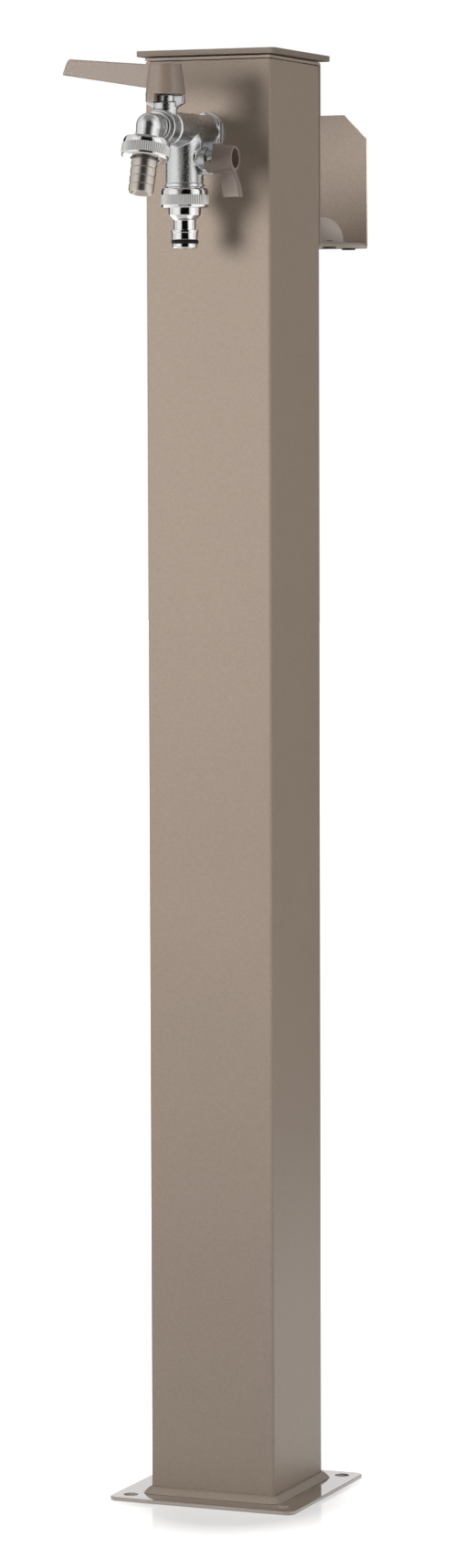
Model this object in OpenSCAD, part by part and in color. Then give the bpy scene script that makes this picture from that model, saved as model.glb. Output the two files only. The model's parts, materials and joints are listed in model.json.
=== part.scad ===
// Garden tap fountain: a square post on an anchor plate, with a ball valve tap in front
// that feeds a tilted hose spout and a quick connect outlet, and a hose hanger behind.
// Millimetres. X runs to the right along the front face, Y to the back, Z up.
// The origin is the middle of the anchor plate's underside.

/* [Column] */
// Height from the ground to the top of the lid
total_h = 925; // [800:1:1100]
// Outside width of the square post
post_w = 85; // [80:1:100]
// Wall thickness of the post
post_wall = 2; // [1.5:0.1:3]
// Outside corner radius of the post
post_corner_r = 2; // [1:0.1:4]

/* [Lid] */
// Thickness of the lid plate
lid_t = 3.5; // [2:0.1:6]
// How far the lid stands out past the front and the sides of the post
lid_overhang = 4.7; // [2:0.1:10]
// How far the lid stands out past the back of the post
lid_rear_overhang = 8.1; // [4:0.1:14]
// Corner radius of the lid
lid_corner_r = 3; // [1:0.1:6]
// Shadow gap between the hanger's top flange and the lid
lid_gap = 0.8; // [0.5:0.1:2]
// Distance of the two lid studs from the middle of the post
stud_offset = 20; // [14:0.5:26]
// Radius of the lid studs and of the hanger screws
stud_r = 2.5; // [2:0.1:3]

/* [Foot] */
// Width of the square anchor plate
plate_w = 128; // [124:1:160]
// Thickness of the anchor plate
plate_t = 2.5; // [2:0.1:6]
// Corner radius of the anchor plate
plate_corner_r = 6; // [3:0.5:9]
// Distance between neighbouring anchor holes
anchor_pitch = 105; // [105:1:112]
// Radius of the anchor holes
anchor_r = 4.5; // [3.5:0.1:5.5]
// Radius of the opening for the supply pipe
pipe_opening_r = 28; // [22:1:34]
// How far the skirt round the post's foot stands out
skirt_w = 5.7; // [3:0.1:6]
// Height of the skirt above the plate
skirt_h = 4.5; // [3:0.1:10]

/* [Hose hanger] */
// Thickness of the hanger's sheet
hanger_t = 1.8; // [1.5:0.1:2.5]
// Height from the trough's underside to the top of the hanger's flange
hanger_drop = 116.5; // [90:0.5:140]
// Depth of the trough between the post's cover sheet and the back plate
trough_depth = 82.3; // [70:0.5:110]
// Height of the back plate from the trough's underside
back_plate_h = 87.6; // [60:0.1:110]
// Size of the cut at the two upper corners of the back plate
back_chamfer = 16; // [6:0.5:26]
// Half of the width of the saddle that the hose lies on
saddle_half_w = 26.4; // [22:0.1:29]
// Height of the saddle above the trough's floor
saddle_h = 19.7; // [17.5:0.1:26]
// Outside radius of the saddle's shoulders
saddle_r = 16; // [8:0.5:17]
// Thickness of the saddle's sheet
saddle_t = 1.5; // [1:0.1:2]

/* [Tap] */
// Height of the lid's top above the tap's axis
tap_drop = 52; // [50:1:70]
// Distance of the spout valve's stem from the post
valve_out = 66.5; // [64:0.5:80]
// Distance of the lower outlet from the post
branch_out = 37; // [33:0.5:40]
// Outside radius of the barrel
barrel_r = 10.6; // [10.3:0.1:10.9]
// Bore radius of the barrel
barrel_bore_r = 6.5; // [5:0.1:7]
// Outside radius of the collar round the spout valve's ball
collar_r = 11.1; // [11:0.1:12]
// Outside radius of the lower branch
branch_r = 11.75; // [11:0.05:12.5]
// Distance of the quick connect valve's axis below the tap's axis
side_drop = 18; // [16.5:0.1:18.5]
// Length of the lower branch below the tap's axis
branch_l = 33.4; // [32:0.1:36]
// Radius of the inlet thread
inlet_r = 10.4; // [9:0.1:10.45]

/* [Spout] */
// Outside radius of the spout's tubes
nose_r = 7.6; // [7:0.1:8.4]
// Extra radius of the spout's elbow over its tubes
nose_swell = 0.3; // [0.2:0.05:0.5]
// Bore radius of the spout
nose_bore_r = 5; // [4:0.1:5.5]
// Distance from the front of the tap body to the bend of the spout
nose_out = 14.2; // [12:0.1:18]
// Angle by which the spout leans forward
spout_tilt = 13.5; // [0:0.5:25]
// Angle by which the screwed-in spout is turned about the barrel
spout_turn = -1.9; // [-5:0.1:5]

/* [Spout valve] */
// Radius of the ball
main_ball_r = 8; // [7.4:0.1:8.1]
// Radius of the port through the ball
main_port_r = 4.5; // [3:0.1:4.8]
// Radius of the stem
main_stem_r = 3.5; // [3.3:0.1:4.2]
// Radius of the handle's hub at its lower end
main_hub_r = 12.4; // [11:0.1:12.5]
// Radius of the handle's hub at its outer end
main_hub_top_r = 9.8; // [8:0.1:11]
// Length from the stem to the end of the lever
lever_l = 68.9; // [40:0.1:90]
// Thickness of the lever's blade
lever_w = 5; // [4:0.1:10]

/* [Quick connect valve] */
// Radius of the ball
side_ball_r = 6.4; // [6:0.1:6.6]
// Radius of the port through the ball
side_port_r = 3.6; // [2.5:0.1:3.8]
// Radius of the stem
side_stem_r = 2.9; // [2.8:0.1:3.2]
// Radius of the handle's hub at its inner end
side_hub_r = 9.3; // [8.8:0.1:9.6]
// Radius of the handle's hub at its outer end
side_hub_top_r = 7.6; // [7.2:0.1:8.6]
// Length from the stem to the end of the wing
wing_l = 24.2; // [20:0.1:30]
// Thickness of the wing
wing_w = 6; // [4:0.1:7]

/* [Hose connections] */
// Radius of the outlet threads
thread_r = 13.15; // [12.6:0.05:13.2]
// Radius of the knurled nuts across the knurl
knurl_r = 15.1; // [15:0.1:17]
// Number of grooves in each knurl
knurl_count = 72; // [60:4:96]
// Height of the knurled nuts
nut_h = 12.1; // [11.6:0.1:15]
// Radius of the hose tail at its barbs
tail_r = 8.15; // [7:0.1:8.6]
// Height of one barb
barb_h = 5.25; // [4:0.1:8]
// Number of barbs
barb_count = 4; // [3:1:6]
// Radius of the quick connect head
head_r = 8.1; // [7.6:0.1:8.6]
// Radius of the quick connect neck
neck_r = 6.9; // [6.4:0.1:7.2]

/* [Supply] */
// Outside radius of the riser pipe
pipe_r = 7.5; // [7.3:0.1:8]
// Wall thickness of the riser pipe
pipe_wall = 1; // [0.8:0.1:1.5]
// Radius of the threaded hole at the foot of the riser
supply_r = 9.3; // [8:0.1:9.5]
// Depth of that threaded hole
supply_depth = 16; // [12:0.5:20]
// Height of that hole's mouth above the ground
supply_z = 44; // [20:1:80]

/* [Hidden] */
$fn = 64;

// Length by which a cut runs past the face it starts from
over = 1;
// Radial clearance of a turning shaft in its hole
run_gap = 0.05;
// Clearance between faces of pieces that turn past each other
face_gap = 0.25;
// Clearance between pieces that are screwed or slid together and stay put
slip_gap = 0.05;

// Heights of the stack on top of the post
lid_z = total_h - lid_t;
flange_top_z = lid_z - lid_gap;
flange_z = flange_top_z - hanger_t;
bend_r = 0.5;
post_top_z = flange_z - bend_r;
post_in = post_w - 2 * post_wall;

// Strap across the inside of the post's top
strap_t = 2.5;
strap_d = 34;
strap_leg = 22;
stud_end = 2;
spacer_r = 6;
nut5_flats = 8;
nut5_h = 4;

// Hanger sheet, from the post's rear face outwards
rear_y = post_w / 2;
cover_y = rear_y + hanger_t;
back_y = cover_y + trough_depth;
floor_z = flange_top_z - hanger_drop;
floor_top_z = floor_z + hanger_t;
back_top_z = floor_z + back_plate_h;
screw_z = floor_z + hanger_drop / 2;
screw_head_r = 4.6;
screw_head_h = 2.6;
head_top_share = 0.8;
socket_share = 1.2;
screw_l = 14;
rivet_nut_r = 3.6;
rivet_nut_flange_r = 4.8;
rivet_nut_flange_t = 0.8;
rivet_nut_l = 10;
rivet_r = 2;
rivet_head_r = 4.5;
rivet_head_h = 1.2;
rivet_top_r = 3.2;
rivet_top_h = 1;
rivet_x = (saddle_half_w + post_w / 2) / 2 + rivet_r / 2;
rivet_y_shares = [0.4, 0.82];
saddle_gap = 0.6;

// Profile of the skirt, as shares of its width and height
skirt_shares = [[0, 0], [1, 0], [0.88, 0.16], [0.68, 0.46], [0.34, 0.83], [0, 1]];

// Supply line inside the post
tap_z = total_h - tap_drop;
elbow_r = 11;
elbow_socket_r = 13.5;
elbow_socket_l = 12.5;
elbow_leg = 24;
pipe_seat = 8;
inlet_l = 24;
washer_t = 1.5;
wall_washer_r = 12.8;
inner_washer_r = 14;
hex_flats = 22;
hex_l = 5;
back_nut_flats = 27;
back_nut_h = 6;
coupling_hex_flats = 24;
coupling_hex_wall = 6;
coupling_hex_h = supply_depth + coupling_hex_wall;
coupling_neck_r = 10.5;
coupling_neck_h = 18;
pipe_stop = 1;
coupling_top_z = supply_z + coupling_hex_h + coupling_neck_h;
bracket_t = 2;
bracket_d = 40;
bracket_leg = 14;

// Tap body
branch_reach = 12;
body_front = valve_out + branch_reach;
ball_cavity_r = 9;
collar_l = 16.3;
collar_rim_l = 3.6;
collar_chamfer = 0.7;
collar_waist_drop = 0.2;
collar_waist_r = barrel_r - collar_waist_drop;
side_cavity_r = 7.4;
side_boss_r = 7.4;
side_boss_l = 10.4;
cross_port_r = 4;
branch_top_drop = 2;
branch_cone_l = 3.5;
branch_top_taper = 0.6;
branch_top_r = barrel_r - branch_top_taper;
seat_l = 3.9;
seat_gap = 0.1;
seat_back = 0.6;
nose_plug_r = ball_cavity_r - slip_gap;
shoulder_r = 9.3;
shoulder_l = 3.5;

// Sizes of the two valves' tops, spout valve first and quick connect valve second,
// as distances along the stem from the ball's middle
ball_rs = [main_ball_r, side_ball_r];
port_rs = [main_port_r, side_port_r];
stem_rs = [main_stem_r, side_stem_r];
hub_rs = [main_hub_r, side_hub_r];
hub_top_rs = [main_hub_top_r, side_hub_top_r];
cavity_rs = [ball_cavity_r, side_cavity_r];
boss_rs = [7.4, 6.5];
boss_tops = [15.5, 16];
gland_rs = [6.1, 4.7];
gland_tops = [20.1, 21.5];
lug_reaches = [12.4, 10.2];
lug_ws = [4.25, 3.4];
lug_lows = [14.7, 9.8];
lug_highs = [19.8, 20.4];
lug_roots = [12, 9.8];
hub_lows = [for (top = gland_tops) top + face_gap];
hub_tops = [39, 34.4];
skirt_lows = [15.8, 16.4];
skirt_in_rs = [7.8, 6.2];
recess_rs = [5.6, 6];
recess_depths = [3.5, 7];
web_ts = [3, 2.6];
drive_ws = [5, 4];
tang_ws = [3, 2.4];
tang_depths = [3, 2.3];
screw_rs = [2, 1.6];
screw_ls = [11, 9];
screw_heads_r = [3.6, 3.2];
cross_l_share = 1.2;
cross_w_share = 0.4;
screw_heads_h = [2.4, 2];
screw_end_gap = 1;
shoulder_rs = [4.5, 3.8];
shoulder_h = 2;
seal_thick = 0.45;
seal_places = [[12, 16], [12.4, 16]];

// Lever blade: heights above the tap's axis at its root and at its tip
lever_root_low = 23.4;
lever_root_high = 38.6;
lever_tip_low = 33.9;
lever_tip_high = 43.6;
lever_tip_lean = 3.8;
lever_tip_r = 1.6;
lever_root_x = 5;

// Wing: distances along the stem of its two edges, at its root and at its tip
wing_in = 24;
wing_out = 33.8;
wing_tip_in = 27;
wing_tip_out = 38.2;
wing_knee_l = 18.5;
wing_knee_out = 37.4;
wing_root = 3;

// Hose connections, as distances from the top of each nut
nut_band_r = 14.5;
nut_mouth_r = 13.75;
nut_chamfer_h = 1.4;
nut_low_chamfer_h = 0.5;
nut_low_r = 13.9;
knurl_top = 4;
knurl_h = 6.15;
knurl_depth = 0.3;
nut_bore_gap = 0.1;
thread_top = 0.8;
thread_l = 6;
seal_washer_t = 1.5;
flange_t = 1.5;
flange_r = 12.8;
nut_floor = thread_top + thread_l + seal_washer_t + flange_t;
tail_hole_r = 9.1;
spout_nut_s = 9.1;
branch_nut_drop = 2.9;
branch_nut_z = -branch_l - branch_nut_drop;
bead_r = 12.3;
bead_h = 2;
outlet_neck_r = 11;
tail_bore_r = 4.2;
tail_mouth_wall = 1.5;
tail_mouth_r = tail_r - tail_mouth_wall;
tail_mouth_l = 2.6;
tail_collar_l = 2.85;
barb_depth = 0.45;
barb_ramp_share = 0.45;
barb_step_share = 0.12;
tail_taper = 0.4;
nipple_collar_r = 10.1;
nipple_collar_l = 6.7;
nipple_cone_l = 3.2;
nipple_neck_l = 6;
ridge_r = 8.6;
ridge_l = 1.6;
nipple_head_l = 4.4;
groove_l = 2.5;
nipple_tip_l = 3;
nipple_tip_chamfer = 0.7;
nipple_tip_drop = 0.25;
nipple_tip_r = head_r - nipple_tip_drop;
nipple_bore_r = 5;
o_ring_r = (groove_l - slip_gap) / 2;
o_ring_out_r = 8.6;
o_ring_mid_r = o_ring_out_r - o_ring_r;
groove_r = o_ring_mid_r - o_ring_r - slip_gap;

// Shared shapes

module rounded_square(w, d, r) {
    square([w - 2 * r, d], center = true);
    square([w, d - 2 * r], center = true);
    for (x = [-1, 1], y = [-1, 1])
        translate([x * (w / 2 - r), y * (d / 2 - r)])
            circle(r = r);
}

module tube(r, bore, h) {
    difference() {
        cylinder(r = r, h = h);
        translate([0, 0, -over])
            cylinder(r = bore, h = h + 2 * over);
    }
}

module hexagon(flats, h) {
    cylinder(r = flats / sqrt(3), h = h, $fn = 6);
}

module hex_nut(flats, bore, h) {
    difference() {
        hexagon(flats, h);
        translate([0, 0, -over])
            cylinder(r = bore, h = h + 2 * over);
    }
}

// A quarter of a ring, swept from the positive x side to the positive y side
module quarter_ring(r_in, r_out) {
    intersection() {
        difference() {
            circle(r = r_out);
            circle(r = r_in);
        }
        square(r_out + over);
    }
}

// Places drawn in the plane of Y and Z and pulled along X
module along_x(w) {
    rotate([90, 0, 90])
        linear_extrude(w, center = true)
            children();
}

module at_studs() {
    for (side = [-1, 1])
        translate([side * stud_offset, 0, 0])
            children();
}

// The barrel's frame: its z axis leaves the post's front face, its y axis is up
module along_barrel() {
    translate([0, -post_w / 2, tap_z])
        rotate([90, 0, 0])
            children();
}

// The frames of the two valves: z along the stem, the handle on the minus x side
module at_valve(v) {
    if (v == 0)
        translate([0, -post_w / 2 - valve_out, tap_z])
            children();
    else
        translate([0, -post_w / 2 - branch_out, tap_z - side_drop])
            rotate([0, 90, 0])
                mirror([1, 0, 0])
                    children();
}

// The spout's frame: z points back up the outlet tube to the bend
module at_spout() {
    translate([0, -post_w / 2 - body_front - nose_out, tap_z])
        rotate([-spout_tilt, -spout_turn, 0])
            children();
}

module at_spout_nut() {
    at_spout()
        translate([0, 0, -spout_nut_s])
            children();
}

module at_branch_nut() {
    translate([0, -post_w / 2 - branch_out, tap_z + branch_nut_z])
        children();
}

// Foot and column

module base_plate() {
    color([0.56, 0.51, 0.46])
        difference() {
            linear_extrude(plate_t)
                rounded_square(plate_w, plate_w, plate_corner_r);
            for (x = [-1, 1], y = [-1, 1])
                translate([x * anchor_pitch / 2, y * anchor_pitch / 2, -over])
                    cylinder(r = anchor_r, h = plate_t + 2 * over);
            translate([0, 0, -over])
                cylinder(r = pipe_opening_r, h = plate_t + 2 * over);
        }
}

module skirt_profile() {
    polygon([for (p = skirt_shares) [p[0] * skirt_w, p[1] * skirt_h]]);
}

module foot_skirt() {
    half = post_w / 2;
    straight = post_w - 2 * post_corner_r;
    color([0.56, 0.51, 0.46])
        translate([0, 0, plate_t])
            for (turn = [0:90:270])
                rotate(turn) {
                    translate([half, straight / 2, 0])
                        rotate([90, 0, 0])
                            linear_extrude(straight)
                                skirt_profile();
                    translate([half - post_corner_r, half - post_corner_r, 0])
                        rotate_extrude(angle = 90)
                            translate([post_corner_r, 0])
                                skirt_profile();
                }
}

module post() {
    color([0.6, 0.55, 0.5])
        difference() {
            translate([0, 0, plate_t])
                linear_extrude(post_top_z - plate_t)
                    difference() {
                        rounded_square(post_w, post_w, post_corner_r);
                        square(post_in, center = true);
                    }
            along_barrel()
                translate([0, 0, -post_wall - over])
                    cylinder(r = inlet_r + slip_gap, h = post_wall + 2 * over);
            at_hanger_screws()
                translate([0, 0, -post_wall - over])
                    cylinder(r = rivet_nut_r + slip_gap, h = post_wall + 2 * over);
        }
}

module top_bracket() {
    color([0.72, 0.72, 0.7])
        difference() {
            translate([0, -strap_d / 2, flange_z])
                rotate([-90, 0, 0])
                    linear_extrude(strap_d)
                        difference() {
                            translate([-post_in / 2, 0])
                                square([post_in, strap_leg]);
                            translate([-post_in / 2 + strap_t, strap_t])
                                square([post_in - 2 * strap_t, strap_leg]);
                        }
            at_studs()
                translate([0, 0, flange_z - strap_t - over])
                    cylinder(r = stud_r + slip_gap, h = strap_t + 2 * over);
        }
}

module lid() {
    stud_l = lid_gap + hanger_t + strap_t + nut5_h + stud_end;
    color([0.6, 0.55, 0.5]) {
        translate([0, (lid_rear_overhang - lid_overhang) / 2, lid_z])
            linear_extrude(lid_t)
                rounded_square(post_w + 2 * lid_overhang, post_w + lid_overhang + lid_rear_overhang,
                               lid_corner_r);
        at_studs()
            translate([0, 0, lid_z - stud_l])
                cylinder(r = stud_r, h = stud_l);
    }
}

module lid_washers() {
    color([0.2, 0.2, 0.2])
        at_studs()
            translate([0, 0, flange_top_z])
                tube(spacer_r, stud_r + slip_gap, lid_gap);
}

module lid_nuts() {
    color([0.75, 0.75, 0.76])
        at_studs()
            translate([0, 0, flange_z - strap_t - nut5_h])
                hex_nut(nut5_flats, stud_r + slip_gap, nut5_h);
}

// Hose hanger

module at_hanger_screws() {
    for (side = [-1, 1])
        translate([side * stud_offset, rear_y, screw_z])
            rotate([-90, 0, 0])
                children();
}

module at_rivets() {
    for (side = [-1, 1], share = rivet_y_shares)
        translate([side * rivet_x, cover_y + share * trough_depth, floor_z])
            children();
}

// One sheet: flange over the post, cover down its back, trough and back plate
module hanger_profile() {
    r_out = bend_r + hanger_t;
    translate([-post_w / 2, flange_z])
        square([post_w - bend_r, hanger_t]);
    translate([rear_y - bend_r, flange_z - bend_r])
        quarter_ring(bend_r, r_out);
    translate([rear_y, floor_top_z + bend_r])
        square([hanger_t, flange_z - bend_r - floor_top_z - bend_r]);
    translate([cover_y + bend_r, floor_top_z + bend_r])
        rotate(180)
            quarter_ring(bend_r, r_out);
    translate([cover_y + bend_r, floor_z])
        square([trough_depth - 2 * bend_r, hanger_t]);
    translate([back_y - bend_r, floor_top_z + bend_r])
        rotate(-90)
            quarter_ring(bend_r, r_out);
    translate([back_y, floor_top_z + bend_r])
        square([hanger_t, back_top_z - floor_top_z - bend_r]);
}

module hose_hanger() {
    color([0.6, 0.55, 0.5])
        difference() {
            along_x(post_w)
                hanger_profile();
            for (side = [-1, 1])
                translate([side * post_w / 2, back_y + hanger_t / 2, back_top_z])
                    rotate([0, 45, 0])
                        cube([back_chamfer * sqrt(2), hanger_t + 2 * over, back_chamfer * sqrt(2)],
                             center = true);
            at_studs()
                translate([0, 0, flange_z - over])
                    cylinder(r = stud_r + slip_gap, h = hanger_t + 2 * over);
            at_hanger_screws()
                translate([0, 0, -over])
                    cylinder(r = stud_r + slip_gap, h = hanger_t + 2 * over);
            at_rivets()
                translate([0, 0, -over])
                    cylinder(r = rivet_r + slip_gap, h = hanger_t + 2 * over);
        }
}

module saddle_arch(half, h, r) {
    intersection() {
        translate([-half, 0])
            square([2 * half, h]);
        union() {
            translate([-half, 0])
                square([2 * half, h - r]);
            translate([r - half, 0])
                square([2 * (half - r), h]);
            for (side = [-1, 1])
                translate([side * (half - r), h - r])
                    circle(r = r);
        }
    }
}

module hose_saddle() {
    color([0.5, 0.47, 0.45])
        difference() {
            translate([0, back_y - saddle_gap, floor_top_z])
                rotate([90, 0, 0])
                    linear_extrude(trough_depth - 2 * saddle_gap)
                        difference() {
                            union() {
                                saddle_arch(saddle_half_w, saddle_h, saddle_r);
                                translate([-post_w / 2 + saddle_gap, 0])
                                    square([post_w - 2 * saddle_gap, saddle_t]);
                            }
                            saddle_arch(saddle_half_w - saddle_t, saddle_h - saddle_t,
                                        saddle_r - saddle_t);
                            translate([saddle_t - saddle_half_w, -over])
                                square([2 * (saddle_half_w - saddle_t), 2 * over]);
                        }
            at_rivets()
                cylinder(r = rivet_r + slip_gap, h = hanger_t + saddle_t + over);
        }
}

module saddle_rivets() {
    color([0.25, 0.26, 0.26])
        at_rivets() {
            translate([0, 0, -rivet_head_h])
                cylinder(r = rivet_head_r, h = rivet_head_h);
            cylinder(r = rivet_r, h = hanger_t + saddle_t);
            translate([0, 0, hanger_t + saddle_t])
                cylinder(r1 = rivet_top_r, r2 = rivet_r, h = rivet_top_h);
        }
}

module hanger_screws() {
    color([0.75, 0.75, 0.76])
        at_hanger_screws()
            difference() {
                union() {
                    translate([0, 0, hanger_t - screw_l])
                        cylinder(r = stud_r, h = screw_l);
                    translate([0, 0, hanger_t])
                        cylinder(r1 = screw_head_r, r2 = screw_head_r * head_top_share, h = screw_head_h);
                }
                translate([0, 0, hanger_t + screw_head_h / 2])
                    hexagon(stud_r * socket_share, screw_head_h);
            }
}

module hanger_nuts() {
    color([0.75, 0.75, 0.76])
        at_hanger_screws()
            translate([0, 0, -rivet_nut_l]) {
                tube(rivet_nut_r, stud_r + slip_gap, rivet_nut_l);
                translate([0, 0, rivet_nut_l - post_wall - rivet_nut_flange_t])
                    tube(rivet_nut_flange_r, stud_r + slip_gap, rivet_nut_flange_t);
            }
}

// Supply line inside the post

module wall_washer() {
    color([0.8, 0.8, 0.8])
        along_barrel()
            tube(wall_washer_r, inlet_r + slip_gap, washer_t);
}

module inner_washer() {
    color([0.15, 0.15, 0.15])
        along_barrel()
            translate([0, 0, -post_wall - washer_t])
                tube(inner_washer_r, inlet_r + slip_gap, washer_t);
}

module back_nut() {
    color([0.75, 0.65, 0.4])
        along_barrel()
            translate([0, 0, -post_wall - washer_t - back_nut_h])
                hex_nut(back_nut_flats, inlet_r + slip_gap, back_nut_h);
}

module inlet_elbow() {
    pipe_bore = pipe_r - pipe_wall;
    color([0.75, 0.65, 0.4])
        difference() {
            union() {
                along_barrel() {
                    translate([0, 0, -inlet_l])
                        cylinder(r = elbow_socket_r, h = elbow_socket_l);
                    translate([0, 0, -post_w / 2])
                        cylinder(r = elbow_r, h = post_w / 2 - inlet_l);
                }
                translate([0, 0, tap_z])
                    sphere(r = elbow_r);
                translate([0, 0, tap_z - elbow_leg])
                    cylinder(r = elbow_r, h = elbow_leg);
            }
            along_barrel() {
                translate([0, 0, -inlet_l])
                    cylinder(r = inlet_r + slip_gap, h = inlet_l);
                translate([0, 0, -post_w / 2])
                    cylinder(r = pipe_bore, h = post_w / 2);
            }
            translate([0, 0, tap_z - elbow_leg - over])
                cylinder(r = pipe_bore, h = elbow_leg + over);
            translate([0, 0, tap_z - elbow_leg - over])
                cylinder(r = pipe_r + slip_gap, h = elbow_leg - pipe_seat + over);
        }
}

module riser_pipe() {
    low_z = coupling_top_z - coupling_neck_h + pipe_stop;
    color([0.72, 0.45, 0.3])
        translate([0, 0, low_z])
            tube(pipe_r, pipe_r - pipe_wall, tap_z - pipe_seat - low_z);
}

module inlet_coupling() {
    color([0.75, 0.65, 0.4])
        difference() {
            union() {
                translate([0, 0, supply_z])
                    hexagon(coupling_hex_flats, coupling_hex_h);
                translate([0, 0, supply_z + coupling_hex_h])
                    cylinder(r = coupling_neck_r, h = coupling_neck_h);
            }
            translate([0, 0, supply_z - over])
                cylinder(r = supply_r, h = supply_depth + over);
            translate([0, 0, supply_z])
                cylinder(r = pipe_r - pipe_wall, h = coupling_hex_h + over);
            translate([0, 0, coupling_top_z - coupling_neck_h + pipe_stop])
                cylinder(r = pipe_r + slip_gap, h = coupling_neck_h);
        }
}

module riser_bracket() {
    color([0.72, 0.72, 0.7])
        difference() {
            translate([0, bracket_d / 2, supply_z + coupling_hex_h + bracket_t])
                rotate([90, 0, 0])
                    linear_extrude(bracket_d)
                        difference() {
                            translate([-post_in / 2, -bracket_leg])
                                square([post_in, bracket_leg]);
                            translate([-post_in / 2 + bracket_t, -bracket_leg - bracket_t])
                                square([post_in - 2 * bracket_t, bracket_leg]);
                        }
            translate([0, 0, supply_z + coupling_hex_h - over])
                cylinder(r = coupling_neck_r + slip_gap, h = bracket_t + 2 * over);
        }
}

// Tap body

// Boss, gland and the two lugs that the handle's skirt runs between
module valve_tower(v) {
    cylinder(r = boss_rs[v], h = boss_tops[v]);
    cylinder(r = gland_rs[v], h = gland_tops[v]);
    for (side = [0, 1])
        mirror([side, 0, 0])
            translate([0, lug_ws[v] / 2, 0])
                rotate([90, 0, 0])
                    linear_extrude(lug_ws[v])
                        polygon([[0, lug_roots[v]], [boss_rs[v], lug_roots[v]],
                                 [lug_reaches[v], lug_lows[v]], [lug_reaches[v], lug_highs[v]],
                                 [0, lug_highs[v]]]);
}

module body_collar() {
    for (z = [body_front - collar_l, body_front - collar_rim_l])
        translate([0, 0, z]) {
            cylinder(r1 = collar_waist_r, r2 = collar_r, h = collar_chamfer);
            translate([0, 0, collar_chamfer])
                cylinder(r = collar_r, h = collar_rim_l - 2 * collar_chamfer);
            translate([0, 0, collar_rim_l - collar_chamfer])
                cylinder(r1 = collar_r, r2 = collar_waist_r, h = collar_chamfer);
        }
}

module tap_body() {
    color([0.78, 0.78, 0.76])
        difference() {
            union() {
                along_barrel() {
                    translate([0, 0, -inlet_l])
                        cylinder(r = inlet_r, h = inlet_l + washer_t + hex_l);
                    translate([0, 0, washer_t])
                        rotate(30)
                            hexagon(hex_flats, hex_l);
                    translate([0, 0, washer_t])
                        cylinder(r = barrel_r, h = body_front - collar_l - washer_t);
                    translate([0, 0, washer_t])
                        cylinder(r = collar_waist_r, h = body_front - washer_t);
                    body_collar();
                }
                at_valve(0)
                    valve_tower(0);
                at_valve(1) {
                    valve_tower(1);
                    cylinder(r = side_boss_r, h = side_boss_l);
                }
                translate([0, -post_w / 2 - branch_out, tap_z - branch_l]) {
                    cylinder(r = branch_r, h = branch_l - branch_top_drop - branch_cone_l);
                    translate([0, 0, branch_l - branch_top_drop - branch_cone_l])
                        cylinder(r1 = branch_r, r2 = branch_top_r, h = branch_cone_l);
                }
            }
            along_barrel() {
                translate([0, 0, -inlet_l - over])
                    cylinder(r = barrel_bore_r, h = inlet_l + valve_out);
                translate([0, 0, valve_out - main_ball_r - seat_back])
                    cylinder(r = ball_cavity_r, h = body_front);
            }
            translate([0, -post_w / 2 - branch_out, tap_z - side_drop])
                cylinder(r = cross_port_r, h = side_drop);
            translate([0, -post_w / 2 - branch_out, tap_z - branch_l - over])
                cylinder(r = side_cavity_r,
                         h = branch_l - side_drop + side_ball_r + seat_back + over);
            for (v = [0, 1])
                at_valve(v) {
                    cylinder(r = stem_rs[v] + run_gap, h = gland_tops[v] + over);
                    cylinder(r = shoulder_rs[v] + run_gap,
                             h = cavity_rs[v] + shoulder_h + 2 * seat_gap);
                }
        }
}

// Inside of the valves, in the valve frame

module ball(v) {
    difference() {
        sphere(r = ball_rs[v]);
        rotate([0, 90, 0])
            cylinder(r = port_rs[v], h = 2 * ball_rs[v] + 2 * over, center = true);
        translate([0, 0, ball_rs[v] - tang_depths[v] / 2 + over / 2])
            cube([2 * ball_rs[v], tang_ws[v] + 2 * slip_gap, tang_depths[v] + over], center = true);
    }
}

// One seat ring, its back face at a distance beyond the ball on the plus z side
module seat(v) {
    back = ball_rs[v] + seat_back;
    difference() {
        translate([0, 0, back - seat_l])
            cylinder(r = cavity_rs[v] - slip_gap, h = seat_l);
        sphere(r = ball_rs[v] + seat_gap);
        cylinder(r = port_rs[v], h = back + over);
    }
}

module stem(v) {
    top = hub_tops[v] - recess_depths[v] - web_ts[v] - slip_gap;
    foot = ball_rs[v] + seat_gap;
    difference() {
        union() {
            intersection() {
                translate([-stem_rs[v], -tang_ws[v] / 2, ball_rs[v] - tang_depths[v] + slip_gap])
                    cube([2 * stem_rs[v], tang_ws[v], tang_depths[v] + seat_gap]);
                cylinder(r = stem_rs[v], h = foot + over);
            }
            translate([0, 0, foot])
                cylinder(r = stem_rs[v], h = gland_tops[v] - foot);
            translate([0, 0, cavity_rs[v] + seat_gap])
                cylinder(r = shoulder_rs[v], h = shoulder_h);
            translate([-drive_ws[v] / 2, -drive_ws[v] / 2, gland_tops[v]])
                cube([drive_ws[v], drive_ws[v], top - gland_tops[v]]);
        }
        for (z = seal_places[v])
            translate([0, 0, z - seal_thick])
                tube(stem_rs[v] + over, stem_rs[v] - 2 * seal_thick, 2 * seal_thick);
        translate([0, 0, hub_tops[v] - recess_depths[v] - screw_ls[v]])
            cylinder(r = screw_rs[v] + slip_gap / 2, h = screw_ls[v]);
    }
}

module stem_seals(v) {
    for (z = seal_places[v])
        translate([0, 0, z])
            rotate_extrude()
                translate([stem_rs[v] - seal_thick, 0])
                    circle(r = seal_thick - slip_gap / 2);
}

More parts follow.
